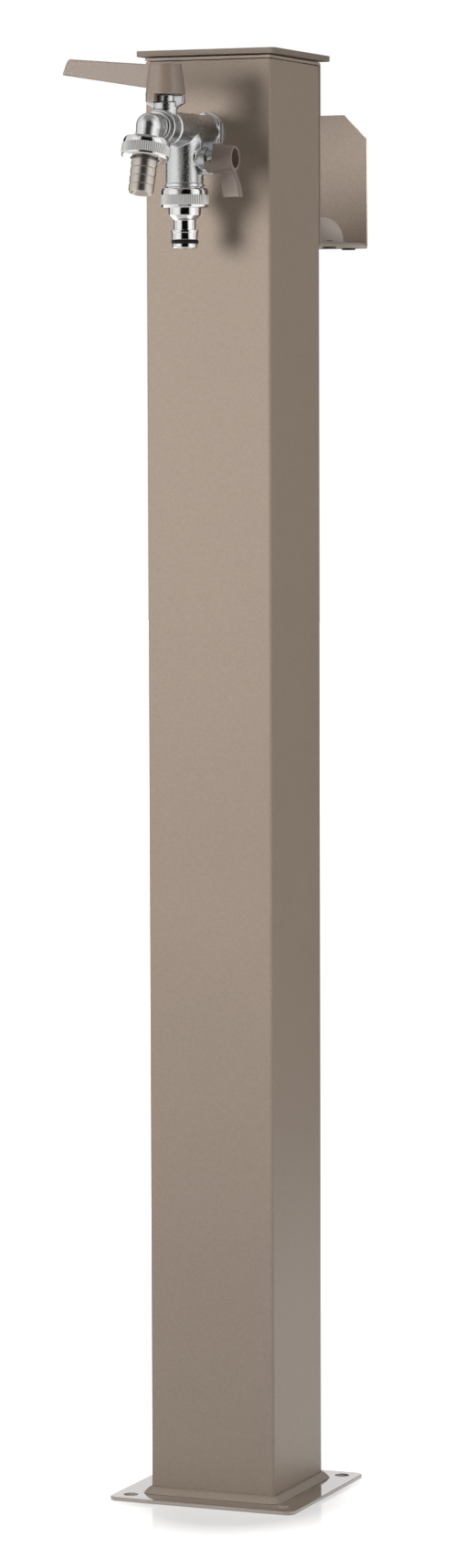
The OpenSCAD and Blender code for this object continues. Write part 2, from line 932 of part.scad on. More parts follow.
module handle_screw(v) {
    seat_z = hub_tops[v] - recess_depths[v];
    difference() {
        union() {
            translate([0, 0, seat_z - screw_ls[v] + screw_end_gap])
                cylinder(r = screw_rs[v], h = screw_ls[v] - screw_end_gap);
            translate([0, 0, seat_z])
                cylinder(r = screw_heads_r[v], h = screw_heads_h[v]);
        }
        translate([0, 0, seat_z + screw_heads_h[v] / 2])
            for (turn = [0, 90])
                rotate(turn)
                    translate([-screw_heads_r[v] * cross_l_share / 2,
                               -screw_rs[v] * cross_w_share / 2, 0])
                        cube([screw_heads_r[v] * cross_l_share, screw_rs[v] * cross_w_share,
                              screw_heads_h[v]]);
    }
}

// Hub with its stop skirt, which fills the quarter between the two lugs
module handle_hub(v) {
    skirt_h = hub_lows[v] - skirt_lows[v] + over;
    difference() {
        union() {
            translate([0, 0, hub_lows[v]])
                cylinder(r1 = hub_rs[v], r2 = hub_top_rs[v], h = hub_tops[v] - hub_lows[v]);
            difference() {
                translate([0, 0, skirt_lows[v]])
                    rotate(180)
                        linear_extrude(skirt_h)
                            quarter_ring(skirt_in_rs[v], hub_rs[v]);
                for (turn = [0, 90])
                    rotate(turn)
                        translate([-hub_rs[v] - over, -lug_ws[v] / 2 - face_gap,
                                   skirt_lows[v] - over])
                            cube([hub_rs[v] + over, lug_ws[v] + 2 * face_gap,
                                  hub_lows[v] - skirt_lows[v] + over]);
            }
        }
        translate([0, 0, hub_tops[v] - recess_depths[v]])
            cylinder(r = recess_rs[v], h = recess_depths[v] + over);
        translate([0, 0, hub_lows[v]])
            cylinder(r = screw_rs[v] + slip_gap, h = hub_tops[v] - hub_lows[v]);
        translate([-drive_ws[v] / 2 - slip_gap, -drive_ws[v] / 2 - slip_gap, hub_lows[v] - over])
            cube([drive_ws[v] + 2 * slip_gap, drive_ws[v] + 2 * slip_gap,
                  hub_tops[v] - recess_depths[v] - web_ts[v] - hub_lows[v] + over]);
    }
}

// An outline in the plane of the stem, given a thickness across it
module blade(w) {
    translate([0, w / 2, 0])
        rotate([90, 0, 0])
            linear_extrude(w)
                children();
}

module lever_outline() {
    tip_x = -lever_l + lever_tip_lean;
    polygon([[-lever_root_x, lever_root_low], [-lever_l, lever_tip_low],
             [tip_x - lever_tip_lean * lever_tip_r / (lever_tip_high - lever_tip_low),
              lever_tip_high - lever_tip_r],
             [tip_x + lever_tip_r, lever_tip_high], [-lever_root_x, lever_root_high]]);
    translate([tip_x + lever_tip_r, lever_tip_high - lever_tip_r])
        circle(r = lever_tip_r);
}

module wing_outline() {
    polygon([[-wing_root, wing_in], [-wing_l, wing_tip_in], [-wing_l, wing_tip_out],
             [-wing_knee_l, wing_knee_out], [-hub_top_rs[1], wing_out], [-wing_root, wing_out]]);
}

// The hub's recess and drive are kept clear of the blade
module hub_core(v) {
    translate([0, 0, hub_lows[v]])
        cylinder(r = recess_rs[v], h = lever_tip_high);
}

module handle(v, w) {
    handle_hub(v);
    difference() {
        blade(w)
            children();
        hub_core(v);
    }
}

// Spout

module spout() {
    color([0.8, 0.8, 0.78])
        difference() {
            union() {
                along_barrel() {
                    translate([0, 0, body_front])
                        cylinder(r = shoulder_r, h = shoulder_l);
                    translate([0, 0, valve_out + main_ball_r + seat_back])
                        cylinder(r = nose_plug_r, h = body_front + shoulder_l
                                                     - valve_out - main_ball_r - seat_back);
                }
                spout_bend(nose_r, body_front, spout_nut_s + thread_top + thread_l);
                at_spout()
                    translate([0, 0, -spout_nut_s - thread_top - thread_l])
                        cylinder(r = thread_r, h = thread_l);
            }
            spout_bend(nose_bore_r, valve_out, spout_nut_s + thread_top + thread_l + over);
        }
}

// Two round runs that meet in a slightly fuller ball, as metal or as the bore in it
module spout_bend(r, start, drop) {
    union() {
        union() {
            along_barrel()
                translate([0, 0, start])
                    cylinder(r = r, h = body_front - start + nose_out);
            at_spout()
                sphere(r = r + nose_swell);
        }
        at_spout()
            translate([0, 0, -drop])
                cylinder(r = r, h = drop);
    }
}

// Lower outlet, screwed into the branch

module branch_outlet() {
    plug_top = side_ball_r + seat_back;
    color([0.8, 0.8, 0.78])
        translate([0, -post_w / 2 - branch_out, tap_z])
            difference() {
                union() {
                    translate([0, 0, -branch_l])
                        cylinder(r = side_cavity_r - slip_gap,
                                 h = branch_l - side_drop - plug_top);
                    translate([0, 0, -branch_l - bead_h])
                        cylinder(r = bead_r, h = bead_h);
                    translate([0, 0, branch_nut_z - thread_top])
                        cylinder(r = outlet_neck_r, h = thread_top - branch_nut_z - branch_l);
                    translate([0, 0, branch_nut_z - thread_top - thread_l])
                        cylinder(r = thread_r, h = thread_l);
                }
                translate([0, 0, branch_nut_z - thread_top - thread_l - over])
                    cylinder(r = nipple_bore_r, h = branch_l);
            }
}

// Hose connections, each below the top of its nut at z = 0

module knurled_nut(hole_r) {
    straight_h = knurl_top - nut_chamfer_h;
    low_band = nut_h - knurl_top - knurl_h - nut_low_chamfer_h;
    difference() {
        union() {
            translate([0, 0, -nut_chamfer_h])
                cylinder(r1 = nut_band_r, r2 = nut_mouth_r, h = nut_chamfer_h);
            translate([0, 0, -knurl_top])
                cylinder(r = nut_band_r, h = straight_h);
            translate([0, 0, -knurl_top - knurl_h])
                linear_extrude(knurl_h)
                    knurl_outline();
            translate([0, 0, -nut_h + nut_low_chamfer_h])
                cylinder(r = nut_band_r, h = low_band);
            translate([0, 0, -nut_h])
                cylinder(r1 = nut_low_r, r2 = nut_band_r, h = nut_low_chamfer_h);
        }
        translate([0, 0, -nut_floor - face_gap])
            cylinder(r = thread_r + nut_bore_gap, h = nut_floor + face_gap + over);
        translate([0, 0, -nut_h - over])
            cylinder(r = hole_r, h = nut_h);
    }
}

// A round outline with a row of vee grooves
module knurl_outline() {
    side = knurl_depth * sqrt(2);
    difference() {
        circle(r = knurl_r);
        for (i = [0:knurl_count - 1])
            rotate(i * 360 / knurl_count)
                translate([knurl_r, 0])
                    rotate(45)
                        square(side, center = true);
    }
}

module seal_washer(bore) {
    translate([0, 0, -thread_top - thread_l - seal_washer_t])
        tube(flange_r, bore, seal_washer_t);
}

module spout_nut() {
    color([0.82, 0.82, 0.8])
        at_spout_nut()
            knurled_nut(tail_hole_r);
}

module spout_washer() {
    color([0.12, 0.12, 0.12])
        at_spout_nut()
            seal_washer(tail_bore_r);
}

module hose_tail() {
    color([0.62, 0.58, 0.53])
        at_spout_nut()
            difference() {
                union() {
                    translate([0, 0, -nut_floor])
                        cylinder(r = flange_r, h = flange_t);
                    translate([0, 0, -nut_floor - tail_collar_l])
                        cylinder(r = tail_r - barb_depth, h = tail_collar_l + flange_t);
                    translate([0, 0, -nut_floor - tail_collar_l - barb_count * barb_h])
                        cylinder(r = tail_r - tail_taper - barb_depth,
                                 h = tail_collar_l + barb_count * barb_h);
                    for (i = [0:barb_count - 1])
                        translate([0, 0, -nut_floor - tail_collar_l - (i + 1) * barb_h])
                            barb(tail_r - i * tail_taper / barb_count);
                }
                translate([0, 0, -nut_floor - tail_collar_l - (barb_count + 1) * barb_h])
                    cylinder(r = tail_bore_r, h = 2 * nut_h + (barb_count + 1) * barb_h);
                translate([0, 0, -nut_floor - tail_collar_l - barb_count * barb_h - over])
                    cylinder(r = tail_mouth_r, h = over);
                translate([0, 0, -nut_floor - tail_collar_l - barb_count * barb_h])
                    cylinder(r1 = tail_mouth_r, r2 = tail_bore_r, h = tail_mouth_l);
            }
}

// A barb that leads in from below and holds the hose with its step
module barb(r) {
    ramp = barb_ramp_share * barb_h;
    step = barb_step_share * barb_h;
    cylinder(r1 = r - barb_depth, r2 = r, h = ramp);
    translate([0, 0, ramp])
        cylinder(r = r, h = barb_h - ramp - step);
    translate([0, 0, barb_h - step])
        cylinder(r1 = r, r2 = r - barb_depth, h = step);
}

module coupling_nut() {
    color([0.82, 0.82, 0.8])
        at_branch_nut()
            knurled_nut(nipple_collar_r + face_gap);
}

module coupling_washer() {
    color([0.12, 0.12, 0.12])
        at_branch_nut()
            seal_washer(nipple_bore_r);
}

module quick_nipple() {
    collar_z = -nut_floor - nipple_collar_l;
    neck_z = collar_z - nipple_cone_l - nipple_neck_l;
    ridge_z = neck_z - ridge_l;
    head_z = ridge_z - nipple_head_l;
    tip_z = head_z - groove_l - nipple_tip_l;
    color([0.8, 0.8, 0.78])
        at_branch_nut()
            difference() {
                union() {
                    translate([0, 0, -nut_floor])
                        cylinder(r = flange_r, h = flange_t);
                    translate([0, 0, collar_z])
                        cylinder(r = nipple_collar_r, h = nipple_collar_l);
                    translate([0, 0, collar_z - nipple_cone_l])
                        cylinder(r1 = neck_r, r2 = nipple_collar_r, h = nipple_cone_l);
                    translate([0, 0, tip_z + nipple_tip_chamfer])
                        cylinder(r = groove_r, h = collar_z - tip_z - nipple_tip_chamfer);
                    translate([0, 0, neck_z])
                        cylinder(r = neck_r, h = nipple_neck_l);
                    translate([0, 0, ridge_z])
                        cylinder(r = ridge_r, h = ridge_l);
                    translate([0, 0, head_z])
                        cylinder(r = head_r, h = nipple_head_l);
                    translate([0, 0, tip_z + nipple_tip_chamfer])
                        cylinder(r = nipple_tip_r, h = nipple_tip_l - nipple_tip_chamfer);
                    translate([0, 0, tip_z])
                        cylinder(r1 = nipple_tip_r - nipple_tip_chamfer, r2 = nipple_tip_r,
                                 h = nipple_tip_chamfer);
                }
                translate([0, 0, tip_z - over])
                    cylinder(r = nipple_bore_r, h = -tip_z + over);
            }
}

module nipple_o_ring() {
    head_z = -nut_floor - nipple_collar_l - nipple_cone_l - nipple_neck_l - ridge_l - nipple_head_l;
    color([0.06, 0.06, 0.06])
        at_branch_nut()
            translate([0, 0, head_z - groove_l / 2])
                rotate_extrude()
                    translate([o_ring_mid_r, 0])
                        circle(r = o_ring_r);
}

// Valve pieces in place

module main_seats() {
    color([0.93, 0.93, 0.9])
        at_valve(0)
            for (turn = [-90, 90])
                rotate([turn, 0, 0])
                    seat(0);
}

module side_seats() {
    color([0.93, 0.93, 0.9])
        at_valve(1)
            for (turn = [-90, 90])
                rotate([0, turn, 0])
                    seat(1);
}

module main_ball() {
    color([0.85, 0.85, 0.86])
        at_valve(0)
            ball(0);
}

module side_ball() {
    color([0.85, 0.85, 0.86])
        at_valve(1)
            ball(1);
}

module main_stem() {
    color([0.78, 0.7, 0.45])
        at_valve(0)
            stem(0);
}

module side_stem() {
    color([0.78, 0.7, 0.45])
        at_valve(1)
            stem(1);
}

module main_stem_seals() {
    color([0.08, 0.08, 0.08])
        at_valve(0)
            stem_seals(0);
}

module side_stem_seals() {
    color([0.08, 0.08, 0.08])
        at_valve(1)
            stem_seals(1);
}

module main_lever() {
    color([0.6, 0.54, 0.49])
        at_valve(0)
            handle(0, lever_w)
                lever_outline();
}

module main_lever_screw() {
    color([0.75, 0.75, 0.76])
        at_valve(0)
            handle_screw(0);
}

module side_handle() {
    color([0.6, 0.54, 0.49])
        at_valve(1)
            handle(1, wing_w)
                wing_outline();
}

module side_handle_screw() {
    color([0.75, 0.75, 0.76])
        at_valve(1)
            handle_screw(1);
}

base_plate();
foot_skirt();
post();
top_bracket();
lid();
lid_washers();
lid_nuts();
hose_hanger();
hose_saddle();
saddle_rivets();
hanger_screws();
hanger_nuts();
wall_washer();
tap_body();
inner_washer();
back_nut();
inlet_elbow();
riser_pipe();
inlet_coupling();
riser_bracket();
spout();
spout_nut();
spout_washer();
hose_tail();
branch_outlet();
coupling_nut();
coupling_washer();
quick_nipple();
nipple_o_ring();
main_seats();
main_ball();
main_stem();
main_stem_seals();
main_lever();
main_lever_screw();
side_seats();
side_ball();
side_stem();
side_stem_seals();
side_handle();
side_handle_screw();
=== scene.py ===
import json
import math
import bpy
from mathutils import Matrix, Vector


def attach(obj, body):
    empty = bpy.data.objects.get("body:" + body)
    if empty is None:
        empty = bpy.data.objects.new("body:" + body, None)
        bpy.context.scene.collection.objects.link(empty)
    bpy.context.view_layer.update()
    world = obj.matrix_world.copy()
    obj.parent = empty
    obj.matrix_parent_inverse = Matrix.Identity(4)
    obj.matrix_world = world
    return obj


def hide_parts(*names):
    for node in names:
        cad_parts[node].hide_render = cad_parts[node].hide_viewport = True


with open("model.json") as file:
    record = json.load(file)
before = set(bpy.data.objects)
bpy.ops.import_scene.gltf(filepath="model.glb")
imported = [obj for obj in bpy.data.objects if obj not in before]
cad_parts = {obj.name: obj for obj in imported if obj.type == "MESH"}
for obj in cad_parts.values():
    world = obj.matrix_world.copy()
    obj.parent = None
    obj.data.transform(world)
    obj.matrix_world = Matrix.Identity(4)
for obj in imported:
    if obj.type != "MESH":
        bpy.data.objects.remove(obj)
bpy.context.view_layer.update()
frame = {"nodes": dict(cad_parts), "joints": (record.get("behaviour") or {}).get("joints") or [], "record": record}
nodes = frame["nodes"]
scene = bpy.context.scene
mm = 0.001

view = {
    "place": (1.24722, -3.02765, 0.70554),
    "turn": (85.695, 0.1865, 22.478),  # degrees: tilt, roll, heading
    "lens": 117.24,
    "sensor": 36.0,
    "far": 60.0,
}
cameraData = bpy.data.cameras.new("camera")
cameraData.lens = view["lens"]
cameraData.sensor_width = view["sensor"]
cameraData.clip_end = view["far"]
camera = bpy.data.objects.new("camera", cameraData)
scene.collection.objects.link(camera)
camera.location = view["place"]
camera.rotation_euler = [math.radians(a) for a in view["turn"]]
scene.camera = camera
scene.view_settings.view_transform = "Standard"
print("camera set")


# a socket that can be added, multiplied and compared like a number
class Wire:
    def __init__(self, graph, socket):
        self.graph = graph
        self.socket = socket

    def math(self, how, a, b):
        return self.graph.add("ShaderNodeMath", {"operation": how}, {0: a, 1: b})

    def __add__(self, other):
        return self.math("ADD", self, other)

    def __sub__(self, other):
        return self.math("SUBTRACT", self, other)

    def __rsub__(self, other):
        return self.math("SUBTRACT", other, self)

    def __mul__(self, other):
        return self.math("MULTIPLY", self, other)

    def __truediv__(self, other):
        return self.math("DIVIDE", self, other)

    __radd__ = __add__

    def least(self, other):
        return self.math("MINIMUM", self, other)

    def most(self, other):
        return self.math("MAXIMUM", self, other)


# a material and its nodes, each added with its settings and joined in one call
class Graph:
    def __init__(self, name):
        self.material = bpy.data.materials.new(name)
        self.material.use_nodes = True
        self.tree = self.material.node_tree
        self.shader = self.tree.nodes["Principled BSDF"]

    def add(self, kind, settings=None, sockets=None, out=0):
        node = self.tree.nodes.new(kind)
        for key, value in (settings or {}).items():
            setattr(node, key, value)
        for key, value in (sockets or {}).items():
            self.plug(node.inputs[key], value)
        return Wire(self, node.outputs[out])

    def plug(self, socket, value):
        if isinstance(value, Wire):
            self.tree.links.new(value.socket, socket)
        elif isinstance(value, (tuple, list)) and len(value) == 3 and socket.type == "RGBA":
            socket.default_value = (*value, 1.0)
        else:
            socket.default_value = value

    def finish(self, **sockets):
        for key, value in sockets.items():
            self.plug(self.shader.inputs[key.replace("_", " ")], value)
        return self.material

    def place(self):
        return self.add("ShaderNodeTexCoord", out="Object")

    def noise(self, scale, detail=3.0, rough=0.55, stretch=(1, 1, 1)):
        spot = self.place()
        if stretch != (1, 1, 1):
            spot = self.add("ShaderNodeMapping", sockets={"Vector": spot, "Scale": stretch})
        return self.add("ShaderNodeTexNoise", sockets={"Vector": spot, "Scale": scale, "Detail": detail,
                                                       "Roughness": rough})

    def blend(self, amount, first, second):
        mix = self.tree.nodes.new("ShaderNodeMix")
        mix.data_type = "RGBA"
        mix.clamp_factor = True
        self.plug(mix.inputs[0], amount)
        self.plug(mix.inputs[6], first)
        self.plug(mix.inputs[7], second)
        return Wire(self, mix.outputs[2])

    def bump(self, height, strength, distance):
        return self.add("ShaderNodeBump", sockets={"Height": height, "Strength": strength,
                                                   "Distance": distance})

    def height(self):
        return self.add("ShaderNodeSeparateXYZ", sockets={0: self.place()}, out=2)

    def glow(self, strength):
        return self.add("ShaderNodeEmission", sockets={"Color": (1.0, 1.0, 1.0), "Strength": strength})


# below, a noise is its scale, its detail and its roughness, and its values lie round 0.5. A depth is in
# metres

# powder coat: a fine orange peel with darker specks, and some dust near the ground
powder = {
    "cloud": (9.0, 2.0, 0.55), "peel": (620.0, 2.0, 0.5), "speck": (1300.0, 1.0, 0.4),
    "cloudShare": 0.2, "peelShare": 0.45, "speckShare": 0.35, "level": 0.34, "contrast": 3.0,
    "cloudRough": 0.06, "speckRough": 0.05,
    "peelHeight": 0.6, "speckHeight": 0.4, "bump": 0.3, "depth": 0.0004,
}
dusting = {"colour": (0.50, 0.46, 0.42), "patches": (60.0, 4.0, 0.6), "fade": 14.0, "share": 0.12,
           "rough": 0.2}


def powderCoat(name, colour, dark, rough, grain=1.0, coat=0.0, coatRough=0.06, coatIor=1.6, sheen=0.3):
    g = Graph(name)
    cloud = g.noise(*powder["cloud"])
    peel = g.noise(*powder["peel"])
    speck = g.noise(*powder["speck"])
    mottle = cloud * powder["cloudShare"] + peel * powder["peelShare"] + speck * powder["speckShare"]
    tone = g.blend((mottle - powder["level"]) * powder["contrast"], dark, colour)
    nearGround = (1 - g.height() * dusting["fade"]).most(0.0)
    dust = nearGround * g.noise(*dusting["patches"]) * dusting["share"]
    uneven = (cloud - 0.5) * powder["cloudRough"] + (speck - 0.5) * powder["speckRough"]
    relief = peel * powder["peelHeight"] + speck * powder["speckHeight"]
    return g.finish(
        Base_Color=g.blend(dust, tone, dusting["colour"]),
        Roughness=rough + uneven + dust * dusting["rough"],
        Normal=g.bump(relief, powder["bump"] * grain, powder["depth"]),
        Coat_Weight=coat,
        Coat_Roughness=coatRough,
        Coat_IOR=coatIor,
        Specular_IOR_Level=sheen,
    )


def shadeOf(colour, share):
    return tuple(c * share for c in colour)


# machined metal, bare or under a thin bright plating, with the lathe's faint lines
plating = {
    "film": (70.0, 3.0), "lineDetail": 2.0, "lineRoughness": 0.6, "filmShare": 0.5, "lineShare": 0.5,
    "filmRough": 0.05, "smoothest": 0.02, "dark": 0.82, "depth": 0.00008,
}


def plated(name, colour, rough, streaks=(1, 1, 1), streak=0.03, grain=0.06, fine=500.0):
    g = Graph(name)
    film = g.noise(*plating["film"])
    lines = g.noise(fine, plating["lineDetail"], plating["lineRoughness"], streaks)
    tone = film * plating["filmShare"] + lines * plating["lineShare"]
    uneven = (film - 0.5) * plating["filmRough"] + (lines - 0.5) * streak
    return g.finish(
        Base_Color=g.blend(tone, shadeOf(colour, plating["dark"]), colour),
        Metallic=1.0,
        Roughness=(rough + uneven).most(plating["smoothest"]),
        Normal=g.bump(lines, grain, plating["depth"]),
    )


# cast metal that keeps the mould's sandy skin under its plating
mouldSkin = {
    "film": (45.0, 3.0), "sand": (1100.0, 3.0, 0.6), "pits": (650.0, 2.0, 0.5), "pitLevel": 0.6,
    "filmShare": 0.4, "sandShare": 0.6, "pitShade": 2.0, "filmRough": 0.08, "sandRough": 0.14,
    "sandHeight": 0.8, "pitDepth": 1.5, "dark": 0.7, "depth": 0.00016,
}


def castPlate(name, colour, rough, grain):
    g = Graph(name)
    film = g.noise(*mouldSkin["film"])
    sand = g.noise(*mouldSkin["sand"])
    pits = (g.noise(*mouldSkin["pits"]) - mouldSkin["pitLevel"]).most(0.0)
    tone = film * mouldSkin["filmShare"] + sand * mouldSkin["sandShare"] - pits * mouldSkin["pitShade"]
    uneven = (film - 0.5) * mouldSkin["filmRough"] + (sand - 0.5) * mouldSkin["sandRough"]
    relief = sand * mouldSkin["sandHeight"] - pits * mouldSkin["pitDepth"]
    return g.finish(
        Base_Color=g.blend(tone, shadeOf(colour, mouldSkin["dark"]), colour),
        Metallic=1.0,
        Roughness=rough + uneven,
        Normal=g.bump(relief, grain, mouldSkin["depth"]),
    )


rubberSkin = {"haze": (300.0, 4.0), "rough": 0.4, "hazeRough": 0.25, "bump": 0.2, "depth": 0.0001}
plasticSkin = {"haze": (400.0, 3.0), "dark": 0.9, "hazeRough": 0.1, "bump": 0.1, "depth": 0.0001}


def darkRubber(name, low, high, sheen=0.5):
    g = Graph(name)
    haze = g.noise(*rubberSkin["haze"])
    return g.finish(
        Base_Color=g.blend(haze, (low, low, low), (high, high, high)),
        Roughness=rubberSkin["rough"] + haze * rubberSkin["hazeRough"],
        Normal=g.bump(haze, rubberSkin["bump"], rubberSkin["depth"]),
        Specular_IOR_Level=sheen,
    )


def plainPlastic(name, colour, rough):
    g = Graph(name)
    haze = g.noise(*plasticSkin["haze"])
    return g.finish(
        Base_Color=g.blend(haze, shadeOf(colour, plasticSkin["dark"]), colour),
        Roughness=rough + haze * plasticSkin["hazeRough"],
        Normal=g.bump(haze, plasticSkin["bump"], plasticSkin["depth"]),
    )


# each paint's colour, and the darker colour of its specks. The skirt, lid, hanger and handle colours are the
# column's one taupe, made lighter or darker as painted light and shade
paints = {
    "column": ((0.335, 0.268, 0.216), (0.285, 0.227, 0.182)),
    # skirt: the column's taupe made lighter, a painted highlight for its upward face that catches more light
    "skirt": ((0.375, 0.302, 0.246), (0.32, 0.257, 0.208)),
    # lid: the column's taupe made darker, painted shade for the dimmer light at the top
    "lid": ((0.23, 0.184, 0.148), (0.195, 0.156, 0.125)),
    # hanger: the column's taupe made lighter, painted light for its brightly lit back plate
    "hanger": ((0.37, 0.305, 0.255), (0.316, 0.258, 0.215)),
    "saddle": ((0.24, 0.212, 0.194), (0.206, 0.182, 0.167)),
    # handle: the column's taupe made darker, painted shade for how dim the handles look
    "handle": ((0.24, 0.184, 0.148), (0.204, 0.156, 0.125)),
}
finishes = {
    "taupe": powderCoat("taupe paint", *paints["column"], rough=0.42),
    "foot": powderCoat("taupe paint at the foot", *paints["column"], rough=0.1, grain=0.12, coat=1.0,
                       coatRough=0.05, coatIor=1.8, sheen=1.0),
    # the skirt's lighter colour is a painted highlight on the column's taupe
    "skirt": powderCoat("skirt paint lightened as painted highlight", *paints["skirt"], rough=0.28, grain=0.5, coat=0.4, coatRough=0.15),
    # the lid's darker colour is painted shade on the column's taupe
    "lid": powderCoat("lid paint darkened as painted shade", *paints["lid"], rough=0.42),
    # the hanger's lighter colour is painted light on the column's taupe
    "hanger": powderCoat("hanger paint lightened as painted light", *paints["hanger"], rough=0.42),
    "saddle": powderCoat("saddle paint", *paints["saddle"], rough=0.42),
    # the handles' darker colour is painted shade on the column's taupe
    "handle": powderCoat("handle paint darkened as painted shade", *paints["handle"], rough=0.34, grain=0.2, coat=0.6, coatRough=0.24),
    "rivet": plainPlastic("blackened rivet", (0.035, 0.038, 0.038), 0.32),
    "zinc": plated("zinc plate", (0.62, 0.62, 0.60), 0.32),
    "barrel": castPlate("satin cast plate", (0.62, 0.62, 0.62), 0.27, 0.9),
    "chrome": castPlate("bright cast plate", (0.72, 0.715, 0.71), 0.29, 0.5),
    "nut": plated("chrome nut", (0.67, 0.665, 0.655), 0.15),
    "knurl": plated("satin knurl", (0.66, 0.65, 0.63), 0.36, streak=0.08, grain=0.2, fine=900.0),
    "washer": plated("satin washer", (0.82, 0.815, 0.80), 0.36),
    "nipple": plated("chrome nipple", (0.70, 0.695, 0.685), 0.14),
    "tail": plated("nickel tail", (0.50, 0.455, 0.405), 0.34, streaks=(1, 1, 6), streak=0.06),
    "ball": plated("polished ball", (0.80, 0.80, 0.80), 0.06),
    "brass": plated("plain brass", (0.78, 0.58, 0.27), 0.26),
    "copper": plated("drawn copper", (0.75, 0.40, 0.26), 0.28, streaks=(8, 8, 0.4), streak=0.1),
    "rubber": darkRubber("black rubber", 0.012, 0.028),
    "oRing": darkRubber("oiled black rubber", 0.004, 0.010, 0.15),
    "ptfe": plainPlastic("white seat", (0.88, 0.88, 0.85), 0.4),
}
# what isn't listed here is painted like the column
finishOf = {
    "base_plate": "foot", "foot_skirt": "skirt", "lid": "lid", "hose_hanger": "hanger",
    "hose_saddle": "saddle", "saddle_rivets": "rivet", "main_lever": "handle", "side_handle": "handle",
    "top_bracket": "zinc", "riser_bracket": "zinc", "lid_nuts": "zinc", "hanger_screws": "zinc",
    "hanger_nuts": "zinc", "main_lever_screw": "zinc", "side_handle_screw": "zinc",
    "tap_body": "barrel", "spout": "chrome", "branch_outlet": "chrome", "quick_nipple": "nipple",
    "wall_washer": "washer", "spout_nut": "nut", "coupling_nut": "nut", "hose_tail": "tail",
    "main_ball": "ball", "side_ball": "ball", "inlet_elbow": "brass", "inlet_coupling": "brass",
    "back_nut": "brass", "main_stem": "brass", "side_stem": "brass", "riser_pipe": "copper",
    "lid_washers": "rubber", "inner_washer": "rubber", "spout_washer": "rubber",
    "coupling_washer": "rubber", "nipple_o_ring": "oRing", "main_stem_seals": "rubber",
    "side_stem_seals": "rubber", "main_seats": "ptfe", "side_seats": "ptfe",
}

for name, part in nodes.items():
    look = finishes[finishOf.get(name, "taupe")]
    if part.material_slots:
        for holder in part.material_slots:
            holder.material = look
    else:
        part.data.materials.append(look)
print("finishes on", len(nodes), "nodes")


def deselectAll():
    bpy.ops.object.select_all(action="DESELECT")


def useOnly(piece):
    deselectAll()
    piece.select_set(True)
    bpy.context.view_layer.objects.active = piece


def bodyOf(node):
    for body, members in frame["record"]["behaviour"]["bodies"].items():
        if node in members:
            return body


def slotOf(node):
    for entry in frame["record"]["subparts"]:
        if entry["node"] == node:
            return entry["material_slot"]


def standsFor(piece, node):
    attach(piece, bodyOf(node))
    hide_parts(node)
    slotOf(node)


# a copy of a node, welded, that takes the node's place. Weld distances are in metres
weld = {"node": 0.00001, "turned": 0.000002}


def standIn(node, kind):
    piece = nodes[node].copy()
    piece.data = nodes[node].data.copy()
    piece.name = node + "_" + kind
    scene.collection.objects.link(piece)
    useOnly(piece)
    bpy.ops.object.mode_set(mode="EDIT")
    bpy.ops.mesh.select_all(action="SELECT")
    bpy.ops.mesh.remove_doubles(threshold=weld["node"])
    bpy.ops.object.mode_set(mode="OBJECT")
    standsFor(piece, node)
    return piece


def applied(piece, kind, **settings):
    step = piece.modifiers.new(kind.lower(), kind)
    for key, value in settings.items():
        setattr(step, key, value)
    useOnly(piece)
    bpy.ops.object.modifier_apply(modifier=step.name)


# sheet metal: sharp edges broken, flat faces kept flat. For each piece the width of the broken edge, in
# metres, and its steps
edges = {
    "base_plate": (0.0005, 2), "foot_skirt": (0.0006, 3), "post": (0.0004, 2), "lid": (0.0006, 3),
    "hose_hanger": (0.0004, 2), "hose_saddle": (0.0003, 2), "saddle_rivets": (0.0004, 3),
}
angles = {"flat": 0.5, "sharp": 32, "smooth": 35}  # degrees between two faces
faceWeight = 90  # how far large faces keep their own normals


def roundEdges(piece, width, steps):
    applied(piece, "BEVEL", width=width, segments=steps, limit_method="ANGLE",
            angle_limit=math.radians(angles["sharp"]))
    bpy.ops.object.shade_smooth_by_angle(angle=math.radians(angles["smooth"]))
    applied(piece, "WEIGHTED_NORMAL", keep_sharp=True, weight=faceWeight)


def softEdges(node, width, steps):
    piece = standIn(node, "soft")
    bpy.ops.object.mode_set(mode="EDIT")
    bpy.ops.mesh.select_all(action="SELECT")
    bpy.ops.mesh.dissolve_limited(angle_limit=math.radians(angles["flat"]))
    bpy.ops.object.mode_set(mode="OBJECT")
    roundEdges(piece, width, steps)


for node, (width, steps) in edges.items():
    softEdges(node, width, steps)
print("edges softened on", len(edges), "pieces")

# castings and mouldings: one skin with the small fillets that the mould leaves. Voxels are in metres,
# and keep is the share of the faces that stays
castings = {
    "tap_body": {"voxel": 0.00036, "rounds": 4, "keep": 0.4},
    "spout": {"voxel": 0.0003, "rounds": 5, "keep": 0.45},
    "main_lever": {"voxel": 0.0005, "rounds": 4, "keep": 0.5},
    "side_handle": {"voxel": 0.0004, "rounds": 4, "keep": 0.5},
}
smoothing = 0.5  # how far a round moves a point towards its neighbours


def castSkin(node, voxel, rounds, keep):
    piece = standIn(node, "cast")
    applied(piece, "REMESH", mode="VOXEL", voxel_size=voxel)
    applied(piece, "SMOOTH", factor=smoothing, iterations=rounds)
    applied(piece, "DECIMATE", ratio=keep)
    bpy.ops.object.shade_smooth()
    return piece


# the faces that pass the test get a finish of their own
def refinish(piece, finish, chosen):
    piece.data.materials.append(finishes[finish])
    useOnly(piece)
    bpy.ops.object.mode_set(mode="EDIT")
    bpy.ops.mesh.select_mode(type="FACE")
    bpy.ops.mesh.select_all(action="DESELECT")
    bpy.ops.object.mode_set(mode="OBJECT")
    for face in piece.data.polygons:
        face.select = chosen(face)
    piece.active_material_index = len(piece.material_slots) - 1
    bpy.ops.object.mode_set(mode="EDIT")
    bpy.ops.object.material_slot_assign()
    bpy.ops.object.mode_set(mode="OBJECT")


